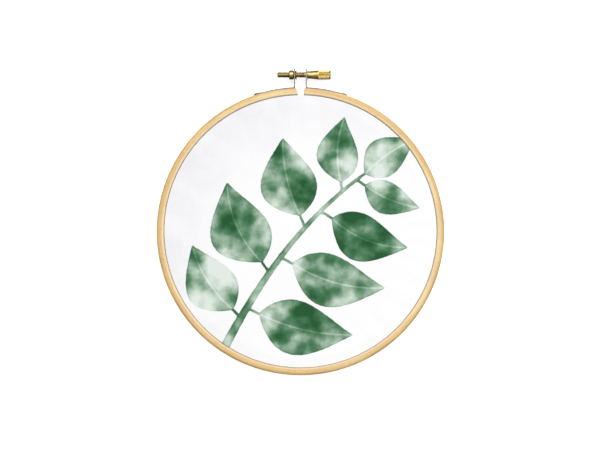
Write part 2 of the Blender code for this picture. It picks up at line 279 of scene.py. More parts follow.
def faced_out(mesh):
    """Turns the faces of a mesh so that they all look outward."""
    shape = bmesh.new()
    shape.from_mesh(mesh)
    bmesh.ops.recalc_face_normals(shape, faces=shape.faces)
    shape.to_mesh(mesh)
    shape.free()


def finished_mesh(name, verts, faces, attributes):
    """A smooth-shaded object with its faces out, and with attributes that hold a value for each point."""
    mesh = bpy.data.meshes.new(name)
    mesh.from_pydata(verts, [], faces)
    add_attributes(mesh, attributes)
    faced_out(mesh)
    mesh.shade_smooth()
    made = bpy.data.objects.new(name, mesh)
    bpy.context.scene.collection.objects.link(made)
    return made


def joint_at(radius):
    """Angle of the glued joint, which slants across the wall of the inner ring."""
    across = (radius - INNER_RING_R) / INNER_RING_WALL
    return JOINT_ANGLE + across * JOINT_LENGTH / INNER_RING_R


sanded_beech = beech()
inner_section = lath_section(
    INNER_RING_R - INNER_RING_WALL,
    INNER_RING_R,
    INNER_RING_DEPTH,
    INNER_EDGE_ROUNDING,
    INNER_EDGE_ROUNDING,
)
inner_lath = bent_lath(
    "inner_ring_lath",
    inner_section,
    joint_at,
    lambda radius: joint_at(radius) + math.tau - JOINT_GAP / radius,
    seed=2,
)
mark_lath(inner_lath, inner_section, joint_at, seed=2)
inner_lath.data.materials.append(sanded_beech)
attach(inner_lath, "hoop")
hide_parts("inner_ring")


# Cloth
# One round of white plain-weave cotton, dyed with a green wash print before it is stretched. It lies
# drum-tight over the inner ring, turns down between the rings and is cut off just short of the back.

cloth_low, cloth_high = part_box("cloth")
# The solids leave 0.3 mm between the cloth and the outer ring. The real ring pinches it, so it reaches
# further out here.
CLOTH_R = (cloth_high.x - cloth_low.x) / 2 + 0.12 * MM
CLOTH_TOP = cloth_high.z
CLOTH_EDGE_Z = cloth_low.z
CLOTH_SHOULDER_R = 0.35 * MM
CLOTH_SAG = 0.6 * MM
CLOTH_SAG_POWER = 6
CLOTH_THICK = 0.3 * MM
CLOTH_EDGE_WANDER = 0.3 * MM
CLOTH_HELD_WIDTH = 2.5 * MM
FREE_CLOTH_R = INNER_RING_R - INNER_RING_WALL
CLOTH_CELLS = 176
SHOULDER_ROWS = 5
WALL_ROWS = 6
# Puckers start at this share of the free cloth's radius, and are full after this much more of it.
PUCKERS_FROM = 0.66
PUCKERS_FULL_AFTER = 0.3
PUCKER_HEIGHT = 0.10 * MM
PUCKERS_ROUND = 34

# Creases that stretching hasn't pulled out, most of them near the rim on the upper left. For each, in mm:
# its middle from the middle of the cloth, the way it runs in degrees from +X, its length and its height.
CREASES = (
    (-15, 66, 88, 13, 0.16),
    (-31, 58, 80, 15, -0.12),
    (-47, 44, 70, 14, 0.12),
    (-66, -4, 92, 17, 0.16),
    (-60, -13, 86, 15, -0.14),
    (-61, 22, 104, 18, 0.10),
    (-50, -51, 38, 12, 0.12),
    (-4, 63, 95, 16, -0.10),
    (68, 24, 84, 14, 0.10),
    (40, -57, 150, 16, 0.08),
)
CREASE_HALF_WIDTH = 1.3
CREASE_BOW = 0.012

# Where the cotton takes no painted shade. The further from here, the greyer the painted shade makes it.
BRIGHTEST_CLOTH_PLACE = (HOOP_X + 22 * MM, HOOP_Y - 18 * MM, CLOTH_TOP)

# The printed branch, in millimetres from the middle of the cloth: the points that its stem bends
# towards, and its half width at the foot and at the tip.
STEM_POINTS = ((-43, -66), (-24, -30), (-2, 4), (33, 30))
STEM_HALF_WIDTHS = (2.7, 0.9)
STEM_STEPS = 240
STEM_TONE = 0.75
PETIOLE_HALF_WIDTH = 0.75
PETIOLE_STEPS = 24

# The leaves, from the foot of the branch to its tip. along: place on the stem, 0 to 1. side: 1 to the
# left of the stem, -1 to the right. lean: degrees between stem and leaf. petiole: its stalk in mm.
# long, wide: size in mm. bend: how far its middle bows, as a share of its length. tone: 0 pale to 1 dark.
LEAF_COLUMNS = ("along", "side", "lean", "petiole", "long", "wide", "bend", "tone")
LEAVES = (
    (0.16, 1, 62, 7, 42, 28, 0.08, 0.45),
    (0.21, -1, 72, 8, 53, 30, -0.06, 0.75),
    (0.40, 1, 58, 8, 48, 33, 0.10, 0.70),
    (0.485, -1, 68, 8, 53, 29, -0.08, 0.35),
    (0.66, 1, 54, 8, 44, 31, 0.06, 0.55),
    (0.76, -1, 66, 8, 45, 26, -0.10, 0.80),
    (0.89, 1, 46, 6, 36, 23, 0.08, 0.40),
    (0.97, -1, 60, 6, 33, 18, -0.06, 0.60),
    (1.00, 1, -2, 3, 34, 21, 0.05, 0.50),
)
# A leaf's tone reaches this far past its outline, and where there is no leaf, the midrib is far off.
LEAF_TONE_REACH = 1.5
NO_MIDRIB_NEAR = 9.0
# The curve of a leaf's width peaks near this, and its sloping outline is this much nearer than straight
# across.
LEAF_CURVE_PEAK = 0.9
LEAF_SLOPE = 0.9


def bezier(points, share):
    """A point on a cubic curve, and the direction there as a unit vector."""
    a, b, c, d = (np.array(p, float) for p in points)
    rest = 1 - share
    place = rest**3 * a + 3 * rest**2 * share * b + 3 * rest * share**2 * c + share**3 * d
    slope = 3 * rest**2 * (b - a) + 6 * rest * share * (c - b) + 3 * share**2 * (d - c)
    return place, slope / np.linalg.norm(slope)


def turned(direction, degrees):
    """A direction in the cloth's plane turned anticlockwise."""
    angle = math.radians(degrees)
    cos, sin = math.cos(angle), math.sin(angle)
    return np.array([direction[0] * cos - direction[1] * sin, direction[0] * sin + direction[1] * cos])


def distance_to_stroke(points, line, half_widths):
    """Distance in mm from each point to a stroke of the brush along a line, below 0 inside it."""
    nearest = np.full(len(points), np.inf)
    for place, half_width in zip(line, half_widths):
        nearest = np.minimum(nearest, np.hypot(*(points - place).T) - half_width)
    return nearest


def distance_to_leaf(points, foot, direction, leaf):
    """For each point, its distance in mm to a leaf's outline, below 0 inside it, and to its midrib.

    The leaf is broad below its middle and runs out to a point, and its midrib is a bow.
    """
    normal = turned(direction, 90)
    along = (points - foot) @ direction / leaf["long"]
    inside = np.clip(along, 0, 1)
    bow = 4 * leaf["bend"] * leaf["long"] * inside * (1 - inside)
    across = (points - foot) @ normal - bow
    broad = np.sin(math.pi * inside**0.8) * (1 - 0.25 * inside)
    half_width = leaf["wide"] / 2 * broad / LEAF_CURVE_PEAK
    beyond = np.abs(along - inside) * leaf["long"]
    edge = np.abs(across) - half_width
    return np.where(beyond > 0, np.hypot(beyond, np.maximum(edge, 0)), edge * LEAF_SLOPE), across


def paint_branch(points):
    """The print over the cloth: distance to its outline, the leaf's tone, and distance to the midrib."""
    shares = np.linspace(0, 1, STEM_STEPS)
    line = [bezier(STEM_POINTS, s)[0] for s in shares]
    foot_width, tip_width = STEM_HALF_WIDTHS
    outline = distance_to_stroke(points, line, foot_width + (tip_width - foot_width) * shares**0.7)
    tone = np.full(len(points), STEM_TONE)
    midrib = np.full(len(points), NO_MIDRIB_NEAR)
    for row in LEAVES:
        leaf = dict(zip(LEAF_COLUMNS, row))
        joint, stem_way = bezier(STEM_POINTS, leaf["along"])
        way = turned(stem_way, leaf["side"] * leaf["lean"])
        foot = joint + leaf["petiole"] * way
        # The stalk leaves the stem at a slant and turns into the leaf.
        start_way = turned(stem_way, leaf["side"] * leaf["lean"] * 0.4)
        petiole_curve = (
            joint,
            joint + 0.5 * leaf["petiole"] * start_way,
            foot - 0.4 * leaf["petiole"] * way,
            foot + way,
        )
        petiole = [bezier(petiole_curve, s)[0] for s in np.linspace(0, 1, PETIOLE_STEPS)]
        half_widths = np.full(PETIOLE_STEPS, PETIOLE_HALF_WIDTH)
        outline = np.minimum(outline, distance_to_stroke(points, petiole, half_widths))
        edge, across = distance_to_leaf(points, foot, way, leaf)
        on_leaf = (edge < outline) & (edge < LEAF_TONE_REACH)
        tone = np.where(on_leaf, leaf["tone"], tone)
        midrib = np.where(on_leaf, across, midrib)
        outline = np.minimum(outline, edge)
    return outline, tone, midrib


def crease_height(x, y):
    """How far the creases lift or sink the cloth, at places in metres from its middle."""
    total = np.zeros_like(x)
    for middle_x, middle_y, degrees, long, high in CREASES:
        way = math.radians(degrees)
        from_x, from_y = x / MM - middle_x, y / MM - middle_y
        along = from_x * math.cos(way) + from_y * math.sin(way)
        across = from_y * math.cos(way) - from_x * math.sin(way) + CREASE_BOW * along**2
        fade = np.clip(1 - (2 * along / long) ** 2, 0, 1) ** 2
        total += high * MM * fade * np.exp(-((across / CREASE_HALF_WIDTH) ** 2))
    return total


def cloth_height(x, y):
    """Height of the cloth's face at places in metres from its middle: it sags a little inside the ring,
    and has faint puckers towards the rim, which fade out where the rings hold it."""
    radius = np.hypot(x, y)
    share = np.minimum(radius / FREE_CLOTH_R, 1)
    drop = CLOTH_SAG * (1 - share**CLOTH_SAG_POWER)
    around = np.arctan2(y, x)
    # The puckers' waves are uneven round the rim, so that no two are alike.
    pull = np.sin(PUCKERS_ROUND * around + 1.6 * np.sin(3 * around) + 0.9 * np.sin(7 * around + 1))
    strength = 0.55 + 0.45 * np.sin(around * 2 + 0.6) * np.sin(around * 5 + 2)
    rim = np.clip((radius - PUCKERS_FROM * FREE_CLOTH_R) / (PUCKERS_FULL_AFTER * FREE_CLOTH_R), 0, 1)
    held = np.clip((CLOTH_R - CLOTH_SHOULDER_R - radius) / CLOTH_HELD_WIDTH, 0, 1)
    fade = rim**2 * (3 - 2 * rim) * held**2 * (3 - 2 * held)
    pulled = PUCKER_HEIGHT * strength * fade * (0.5 + 0.5 * pull)
    return CLOTH_TOP - drop - pulled + crease_height(x, y) * np.minimum(held * 2, 1)


def stretched_cloth():
    """The cloth as one grid of square cells drawn into a round, with rows that turn down at its rim."""
    flat_r = CLOTH_R - CLOTH_SHOULDER_R
    side = np.linspace(-1, 1, CLOTH_CELLS + 1)
    across, up = np.meshgrid(side, side)
    x = (flat_r * across * np.sqrt(1 - up**2 / 2)).ravel()
    y = (flat_r * up * np.sqrt(1 - across**2 / 2)).ravel()
    z = cloth_height(x, y)
    width = CLOTH_CELLS + 1
    faces = []
    for row in range(CLOTH_CELLS):
        for i in range(CLOTH_CELLS):
            low = row * width + i
            faces.append((low, low + 1, low + 1 + width, low + width))
    rim = list(range(CLOTH_CELLS))
    rim += [row * width + CLOTH_CELLS for row in range(CLOTH_CELLS)]
    rim += [CLOTH_CELLS * width + i for i in range(CLOTH_CELLS, 0, -1)]
    rim += [row * width for row in range(CLOTH_CELLS, 0, -1)]
    rim_x, rim_y = x[rim] / flat_r, y[rim] / flat_r
    around = np.arctan2(rim_y, rim_x)
    edge_z = CLOTH_EDGE_Z + CLOTH_EDGE_WANDER * (1 + np.sin(9 * around + 2 * np.sin(4 * around)))
    rows = []
    for step in range(1, SHOULDER_ROWS + 1):
        angle = math.pi / 2 * (1 - step / SHOULDER_ROWS)
        r = flat_r + CLOTH_SHOULDER_R * math.cos(angle)
        rows.append((r, np.full(len(rim), CLOTH_TOP - CLOTH_SHOULDER_R * (1 - math.sin(angle)))))
    for step in range(1, WALL_ROWS + 1):
        share = step / WALL_ROWS
        rows.append((CLOTH_R, (CLOTH_TOP - CLOTH_SHOULDER_R) * (1 - share) + edge_z * share))
    points = [np.column_stack([x, y, z])]
    above = rim
    first = len(x)
    for r, heights in rows:
        points.append(np.column_stack([r * rim_x, r * rim_y, heights]))
        row = list(range(first, first + len(rim)))
        for i in range(len(rim)):
            after = (i + 1) % len(rim)
            faces.append((above[i], row[i], row[after], above[after]))
        above = row
        first += len(rim)
    points = np.vstack(points)
    outline, tone, midrib = paint_branch(points[:, :2] / MM)
    from_middle = np.hypot(points[:, 0], points[:, 1])
    # Where the cloth turns down at its rim, for the painted shade along the fold.
    groove_shade = np.clip((from_middle - flat_r) / CLOTH_SHOULDER_R, 0, 1) ** 2
    verts = points + np.array([HOOP_X, HOOP_Y, 0])
    attributes = {
        "print_outline": outline,
        "print_tone": tone,
        "print_midrib": midrib,
        "cloth_pinched": groove_shade,
    }
    return finished_mesh("printed_cotton", verts.tolist(), faces, attributes)


def printed_cotton():
    """Bleached plain-weave cotton: matt white with a faint thread pattern. The wash soaked in, so its
    greens are cloudy, a little grainy, darker where it pooled along an edge, and no glossier."""
    made = new_material("bleached cotton, wash printed", Roughness=0.9, Specular_IOR_Level=0.2,
                        Sheen_Weight=0.15, Sheen_Roughness=0.5)
    tree = made.node_tree
    shader = tree.nodes["Principled BSDF"]
    place = add_node(tree, "TexCoord", {}, {}).outputs["Object"]
    outline = add_node(tree, "Attribute", {"attribute_name": "print_outline"}, {}).outputs["Fac"]
    tone = add_node(tree, "Attribute", {"attribute_name": "print_tone"}, {}).outputs["Fac"]
    midrib = add_node(tree, "Attribute", {"attribute_name": "print_midrib"}, {}).outputs["Fac"]

    # Cotton this fine has a thread every 0.35 mm. It is drawn at 1.0 mm, so that the weave can show.
    thread = 1.0 * MM
    threads = add_node(tree, "VectorMath", {"operation": "SCALE", "Scale": math.pi / thread}, {0: place})
    split = add_node(tree, "SeparateXYZ", {}, {0: threads})
    warp = add_node(tree, "Math", {"operation": "SINE"}, {0: split.outputs[0]})
    weft = add_node(tree, "Math", {"operation": "SINE"}, {0: split.outputs[1]})
    over_under = add_node(tree, "Math", {"operation": "MULTIPLY"}, {0: warp, 1: weft})

    # Slubs, the threads' thicker stretches, are 14 mm long and lie both ways. They too are drawn wide.
    slubs = []
    for sizes in ((14, 0.9, 9), (0.9, 14, 9)):
        scale = [1 / (size * MM) for size in sizes]
        stretched = add_node(tree, "VectorMath", {"operation": "MULTIPLY", 1: scale}, {0: place})
        slubs.append(add_node(tree, "TexNoise", {"Scale": 1.0, "Detail": 1.0}, {"Vector": stretched}))
    slub = add_node(tree, "Math", {"operation": "ADD"}, {0: slubs[0], 1: slubs[1]})
    weave = add_node(tree, "Math", {"operation": "MULTIPLY_ADD", 1: 0.22}, {0: over_under, 2: slub})

    # The wash creeps a little way along the threads, so its outline wavers.
    creep = add_node(tree, "TexNoise", {"Scale": 1 / (2.6 * MM), "Detail": 4.0, "Roughness": 0.65},
                     {"Vector": place})
    creep = add_node(tree, "MapRange", {1: 0.25, 2: 0.75, 3: -0.2, 4: 0.2}, {0: creep})
    reach = add_node(tree, "Math", {"operation": "ADD"}, {0: outline, 1: creep})
    inked = add_node(tree, "MapRange", {1: 0.16, 2: -0.16, 3: 0.0, 4: 1.0}, {0: reach})

    # The wash is cloudy with pools and smaller blooms, grainy from the threads, a little darker where it
    # dried at the outline, and the brush spared the midribs.
    pools = add_node(tree, "TexNoise", {"Scale": 1 / (15 * MM), "Detail": 1.5, "Roughness": 0.45},
                     {"Vector": place})
    blooms = add_node(tree, "TexNoise", {"Scale": 1 / (5 * MM), "Detail": 2.0, "Roughness": 0.5},
                      {"Vector": place})
    clouds = add_node(tree, "Mix", {"Factor": 0.22}, {2: pools, 3: blooms})
    grains = add_node(tree, "TexNoise", {"Scale": 1 / (1.1 * MM), "Detail": 2.0}, {"Vector": place})
    depth = add_node(tree, "MapRange", {1: 0.33, 2: 0.67, 3: -0.10, 4: 1.0, "clamp": False}, {0: clouds})
    toned = add_node(tree, "Math", {"operation": "MULTIPLY_ADD", 1: 0.5}, {0: tone, 2: depth})
    grained = add_node(tree, "Math", {"operation": "MULTIPLY_ADD", 1: 0.12}, {0: grains, 2: toned})
    pooled = add_node(tree, "MapRange", {1: -1.1, 2: -0.1, 3: 0.0, 4: 0.12}, {0: reach})
    washed = add_node(tree, "Math", {"operation": "ADD"}, {0: grained, 1: pooled})
    off_midrib = add_node(tree, "Math", {"operation": "ABSOLUTE"}, {0: midrib})
    spared = add_node(tree, "MapRange", {1: 0.15, 2: 0.7, 3: 0.2, 4: 0.0}, {0: off_midrib})
    wash = add_node(tree, "Math", {"operation": "SUBTRACT"}, {0: washed, 1: spared})
    wash = add_node(tree, "MapRange", {1: 0.0, 2: 1.51, 3: 0.0, 4: 1.0}, {0: wash})
    greens = (
        (0.20, "#e4eee6"),
        (0.33, "#cbdcce"),
        (0.46, "#a2bda7"),
        (0.58, "#7d9f85"),
        (0.67, "#568562"),
        (0.79, "#3c704a"),
        (0.92, "#235a31"),
    )
    green = add_node(tree, "ValToRGB", {"stops": greens}, {0: wash})
    whites = add_node(tree, "ValToRGB", {"stops": ((0.3, "#fafbfb"), (0.7, "#ffffff"))}, {0: weave})

    # Painted shade greys the cotton in patches, more the further it is from its brightest place.
    from_brightest = add_node(tree, "VectorMath", {"operation": "DISTANCE", 1: BRIGHTEST_CLOTH_PLACE}, {0: place})
    patchy = add_node(tree, "TexNoise", {"Scale": 1 / (16 * MM), "Detail": 3.0}, {"Vector": place})
    patchy = add_node(tree, "MapRange", {1: 0.3, 2: 0.7, 3: 0.4, 4: 1.2}, {0: patchy})
    side_shade = add_node(tree, "MapRange", {1: 58 * MM, 2: 108 * MM, 3: 0.0, 4: 0.75},
                      {0: from_brightest.outputs["Value"]})
    side_shade = add_node(tree, "Math", {"operation": "MULTIPLY"}, {0: side_shade, 1: patchy})
    ground = add_node(tree, "Mix", {"data_type": "RGBA", 7: linear("#e9e9f0")},
                      {0: side_shade, 6: whites.outputs[0]})
    colour = add_node(tree, "Mix", {"data_type": "RGBA"},
                      {0: inked, 6: ground.outputs[2], 7: green.outputs[0]})

    # Painted shade darkens the cotton along the fold where it turns down between the rings.
    groove_shade = add_node(tree, "Attribute", {"attribute_name": "cloth_pinched"}, {}).outputs["Fac"]
    groove_shade_amount = add_node(tree, "Math", {"operation": "MULTIPLY", 1: 0.45}, {0: groove_shade})
    groove_shaded = add_node(tree, "Mix", {"data_type": "RGBA", 7: linear("#8a8078")},
                      {0: groove_shade_amount, 6: colour.outputs[2]})
    tree.links.new(groove_shaded.outputs[2], shader.inputs["Base Color"])
    bump = add_node(tree, "Bump", {"Strength": 0.35, "Distance": 0.06 * MM}, {"Height": weave})
    tree.links.new(bump.outputs[0], shader.inputs["Normal"])
    return made


cloth = stretched_cloth()
cloth.data.materials.append(printed_cotton())
thickness = cloth.modifiers.new("woven thickness", "SOLIDIFY")
thickness.thickness = CLOTH_THICK
thickness.offset = -1.0
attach(cloth, "hoop")
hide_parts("cloth")


# Outer ring
# The same beech lath, bent round the cloth and left open under the screw, its ends sawn askew. Its
# outside is planed down for the brackets' feet, and has a slot for the tab of each. Sanded, edges rounded.

outer_low, outer_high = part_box("outer_ring")
OUTER_RING_R = (outer_high.x - outer_low.x) / 2
OUTER_RING_WALL = 4.05 * MM
OUTER_RING_DEPTH = outer_high.z - outer_low.z
OUTSIDE_EDGE_ROUNDING = 1.3 * MM
INSIDE_EDGE_ROUNDING = 0.8 * MM
# Where each sawn end stands beside the screw, on the outside and on the inside of the ring.
RIGHT_END_XS = (2.35 * MM, 1.7 * MM)
LEFT_END_XS = (-2.4 * MM, -1.3 * MM)
LATH_SHARP_ANGLE = math.radians(50)
STRIP_THICK = 0.6 * MM
STRIP_WIDTH = 7.1 * MM
STRIP_PROUD = 0.3 * MM
STRIP_MIDDLE_R = OUTER_RING_R + STRIP_PROUD - STRIP_THICK / 2
FOOT_ANGLE = math.radians(18.2)
FOOT_LIFT_ANGLE = math.radians(3.8)
FOOT_LIFTS = {"left": 0.6 * MM, "right": 0.4 * MM}
RECESS_PLAY = 0.08 * MM
RECESS_R = STRIP_MIDDLE_R - STRIP_THICK / 2 - RECESS_PLAY
RECESS_STEPS = 160
TAB_BEND_R = 0.8 * MM
TAB_LENGTH = 1.4 * MM
TAB_SLOT_PLAY = 0.3 * MM
TAB_SLOT_FAR_SIDE = TAB_BEND_R + STRIP_THICK / 2 + TAB_SLOT_PLAY
TAB_SLOT_NEAR_SIDE = 0.1 * MM


def sawn_end(radius, end_xs):
    """Angle clockwise from the screw at which an end is sawn, which changes across the wall."""
    outside_x, inside_x = end_xs
    across = (OUTER_RING_R - radius) / OUTER_RING_WALL
    return math.asin((outside_x + (inside_x - outside_x) * across) / radius)


def right_end(radius):
    """Where the lath starts: its right end, just clockwise of the screw."""
    return sawn_end(radius, RIGHT_END_XS)


def left_end(radius):
    """Where the lath ends: its left end, a whole turn on, and sawn more askew."""
    return math.tau + sawn_end(radius, LEFT_END_XS)


def foot_rise(angle, lift):
    """How far a foot, and the wood under it, rises at an angle from the screw, up to the foot's lift."""
    share = min(max(1 + (abs(angle) - FOOT_ANGLE) / FOOT_LIFT_ANGLE, 0.0), 1.0)
    return lift * share**2 * (3 - 2 * share)


def recess_cutter():
    """What is planed off the outside of the ring for both brackets, less deep where their feet rise."""
    beyond_wall = OUTER_RING_R + OUTER_RING_WALL
    end = FOOT_ANGLE + TAB_SLOT_FAR_SIDE / STRIP_MIDDLE_R
    angles = np.linspace(-end, end, RECESS_STEPS + 1)
    path = []
    for angle in angles:
        lift = FOOT_LIFTS["left" if angle < 0 else "right"]
        path.append((RECESS_R + foot_rise(angle, lift), angle))
    path += [(beyond_wall, angle) for angle in angles[::-1]]
    outline = [(HOOP_X + r * math.sin(angle), HOOP_Y + r * math.cos(angle)) for r, angle in path]
    count = len(outline)
    verts = [(x, y, z) for z in (-OUTER_RING_DEPTH, 2 * OUTER_RING_DEPTH) for x, y in outline]
    faces = [tuple(range(count)), tuple(range(2 * count - 1, count - 1, -1))]
    faces += [(i, (i + 1) % count, (i + 1) % count + count, i + count) for i in range(count)]
    mesh = bpy.data.meshes.new("tool")
    mesh.from_pydata(verts, [], faces)
    faced_out(mesh)
    return mesh


def block(size, place, turn):
    """A block of a size, turned about its middle and put at a place, as the mesh of a cutting tool."""
    shape = bmesh.new()
    bmesh.ops.create_cube(shape, size=1.0)
    bmesh.ops.scale(shape, vec=size, verts=shape.verts)
    bmesh.ops.transform(shape, matrix=Matrix.Translation(place) @ turn, verts=shape.verts)
    mesh = bpy.data.meshes.new("tool")
    shape.to_mesh(mesh)
    shape.free()
    return mesh


def cut(target, tool_meshes):
    """Cuts the shapes of tools out of an object for good, and leaves no tool behind."""
    for tool_mesh in tool_meshes:
        tool = bpy.data.objects.new("tool", tool_mesh)
        bpy.context.scene.collection.objects.link(tool)
        cutting = target.modifiers.new("cut", "BOOLEAN")
        cutting.operation = "DIFFERENCE"
        cutting.solver = "EXACT"
        cutting.object = tool
        bpy.context.view_layer.update()
        shaped = target.evaluated_get(bpy.context.evaluated_depsgraph_get())
        result = bpy.data.meshes.new_from_object(shaped)
        target.modifiers.remove(cutting)
        target.data = result
        bpy.data.objects.remove(tool, do_unlink=True)


def tab_slot(side):
    """The slot for a bracket's tab, square into the outside of the ring at the end of the foot."""
    turn = Matrix.Rotation(-side * FOOT_ANGLE, 4, "Z")
    width = TAB_SLOT_FAR_SIDE - TAB_SLOT_NEAR_SIDE
    middle_x = side * (TAB_SLOT_NEAR_SIDE + width / 2)
    from_hoop = turn @ Vector((middle_x, STRIP_MIDDLE_R - TAB_BEND_R, OUTER_RING_DEPTH / 2))
    size = (width, 2 * (TAB_LENGTH + TAB_SLOT_PLAY), STRIP_WIDTH + 2 * TAB_SLOT_PLAY)
    return block(size, from_hoop + Vector((HOOP_X, HOOP_Y, 0)), turn)


outer_section = lath_section(
    OUTER_RING_R - OUTER_RING_WALL,
    OUTER_RING_R,
    OUTER_RING_DEPTH,
    INSIDE_EDGE_ROUNDING,
    OUTSIDE_EDGE_ROUNDING,
)
outer_lath = bent_lath("outer_ring_lath", outer_section, right_end, left_end, seed=0)
cut(outer_lath, [recess_cutter(), tab_slot(-1), tab_slot(1)])
mark_lath(outer_lath, outer_section, right_end, seed=0)
outer_lath.data.shade_smooth()
outer_lath.data.set_sharp_from_angle(angle=LATH_SHARP_ANGLE)
outer_lath.data.materials.clear()
outer_lath.data.materials.append(sanded_beech)
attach(outer_lath, "hoop")
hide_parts("outer_ring")


# Brackets
# Two strips of zinc-plated mild steel, stamped with a round end and a hole, then bent: a lug that stands
# beside the split, a foot that lies along the ring, and a tab pressed into the wood.

STRIP_EDGE_ROUNDING = 0.12 * MM
STRIP_EDGE_ANGLE = math.radians(50)
LUG_MIDDLE_X = 3.25 * MM
LUG_BEND_R = 1.0 * MM
SCREW_HEIGHT = OUTER_RING_DEPTH / 2
SCREW_FROM_HOOP = OUTER_RING_R + 7.25 * MM
LEFT_HOLE_R = 2.3 * MM
RIGHT_HOLE_R = 1.7 * MM
STRIP_CELLS = 8
HOLE_RINGS = 3
LUG_STEPS = 3
BEND_STEPS = 8
FOOT_STEPS = 16


def curve_points(middle, radius, start, end, steps):
    """Points along an arc round a middle, from one angle to another, its two ends among them."""
    angles = np.linspace(start, end, steps + 1)
    return [(middle[0] + radius * math.cos(a), middle[1] + radius * math.sin(a)) for a in angles]


def strip_line(lift):
    """The middle line of the right-hand strip from just under its round end to its tab, from the hoop.

    The foot rises off the wood by the lift before its tab turns in.
    """
    bend_x = LUG_MIDDLE_X + LUG_BEND_R
    bend_y = math.sqrt((STRIP_MIDDLE_R + LUG_BEND_R) ** 2 - bend_x**2)
    foot_start = math.atan2(bend_x, bend_y)
    straight = np.linspace(SCREW_FROM_HOOP - STRIP_WIDTH / 2, bend_y, LUG_STEPS + 1)[:-1]
    line = [(LUG_MIDDLE_X, y) for y in straight]
    line += curve_points((bend_x, bend_y), LUG_BEND_R, math.pi, 1.5 * math.pi - foot_start, BEND_STEPS)
    lift_start = FOOT_ANGLE - FOOT_LIFT_ANGLE
    flat_from, flat_to = math.pi / 2 - foot_start, math.pi / 2 - lift_start
    line += curve_points((0, 0), STRIP_MIDDLE_R, flat_from, flat_to, FOOT_STEPS)[1:]
    for share in np.linspace(0, 1, BEND_STEPS + 1)[1:]:
        angle = lift_start + FOOT_LIFT_ANGLE * share
        radius = STRIP_MIDDLE_R + foot_rise(angle, lift)
        line.append((radius * math.sin(angle), radius * math.cos(angle)))
    tab_r = STRIP_MIDDLE_R + lift - TAB_BEND_R
    tab_middle = (tab_r * math.sin(FOOT_ANGLE), tab_r * math.cos(FOOT_ANGLE))
    line += curve_points(tab_middle, TAB_BEND_R, math.pi / 2 - FOOT_ANGLE, -FOOT_ANGLE, BEND_STEPS)[1:]
    last_x, last_y = line[-1]
    tab = TAB_LENGTH + lift
    return line + [(last_x - tab * math.sin(FOOT_ANGLE), last_y - tab * math.cos(FOOT_ANGLE))]


def pressed_strip(name, side, hole_r, lift):
    """A bracket's strip as one sheet of cells, with a hole in its round end; side is -1 on the left.

    Rings of cells lie between the hole and the outline of the strip's end, a round end on a square, and
    rows of cells follow from the square's last side to the tab.
    """
    half = STRIP_WIDTH / 2
    quarter = STRIP_CELLS // 2
    outline = curve_points((0, 0), half, 0, math.pi, 2 * STRIP_CELLS)
    outline += [(-half, -half * i / quarter) for i in range(1, quarter + 1)]
    outline += [(-half + STRIP_WIDTH * i / STRIP_CELLS, -half) for i in range(1, STRIP_CELLS + 1)]
    outline += [(half, -half + half * i / quarter) for i in range(1, quarter)]
    verts, places, faces = [], [], []
    for ring in range(HOLE_RINGS + 1):
        share = ring / HOLE_RINGS
        for across, up in outline:
            reach = math.hypot(across, up)
            near = hole_r / reach
            scale = near + (1 - near) * share
            across_here, up_here = across * scale, up * scale
            verts.append((side * LUG_MIDDLE_X, SCREW_FROM_HOOP + up_here, SCREW_HEIGHT + across_here))
            places.append((half - up_here, across_here, 0.0))
    count = len(outline)
    for ring in range(HOLE_RINGS):
        for i in range(count):
            after = (i + 1) % count
            low, high = ring * count, (ring + 1) * count
            faces.append((low + i, low + after, high + after, high + i))
    foot_edge = [HOLE_RINGS * count + 2 * STRIP_CELLS + quarter + i for i in range(STRIP_CELLS + 1)]
    above, along = foot_edge, STRIP_WIDTH
    line = strip_line(lift)
    for before, (x, y) in zip(line, line[1:]):
        along += math.dist(before, (x, y))
        first = len(verts)
        for i in range(STRIP_CELLS + 1):
            across = -half + STRIP_WIDTH * i / STRIP_CELLS
            verts.append((side * x, y, SCREW_HEIGHT + across))
            places.append((along, across, 0.0))
        row = list(range(first, first + STRIP_CELLS + 1))
        for i in range(STRIP_CELLS):
            faces.append((above[i], above[i + 1], row[i + 1], row[i]))
        above = row
    verts = [(HOOP_X + x, HOOP_Y + y, z) for x, y, z in verts]
    return finished_mesh(name, verts, faces, {"strip_place": places})


def plated_steel():
    """Zinc over cold-rolled strip: a cool grey metal with lines drawn along the strip by rolling, faint
    cloudy patches in the zinc, and a shine that air has dulled."""
    made = new_material("zinc-plated steel", Metallic=1.0)
    tree = made.node_tree
    shader = tree.nodes["Principled BSDF"]
    place = add_node(tree, "Attribute", {"attribute_name": "strip_place"}, {}).outputs["Vector"]

    # Rolling lines are 0.05 mm apart and are drawn at 0.25 mm, so that they can show.
    line_scale = (1 / (9 * MM), 1 / (0.25 * MM), 1.0)
    line_place = add_node(tree, "VectorMath", {"operation": "MULTIPLY", 1: line_scale}, {0: place})
    lines = add_node(tree, "TexNoise", {"Scale": 1.0, "Detail": 3.0}, {"Vector": line_place})
    clouds = add_node(tree, "TexNoise", {"Scale": 1 / (2.2 * MM), "Detail": 2.0}, {"Vector": place})
    zinc = add_node(tree, "ValToRGB", {"stops": ((0.3, "#868586"), (0.7, "#9f9e9f"))}, {0: clouds})
    tree.links.new(zinc.outputs[0], shader.inputs["Base Color"])
    rough = add_node(tree, "MapRange", {1: 0.3, 2: 0.7, 3: 0.44, 4: 0.6}, {0: lines})
    tree.links.new(rough.outputs[0], shader.inputs["Roughness"])
    bump = add_node(tree, "Bump", {"Strength": 0.3, "Distance": 0.02 * MM}, {"Height": lines})
    tree.links.new(bump.outputs[0], shader.inputs["Normal"])
    return made


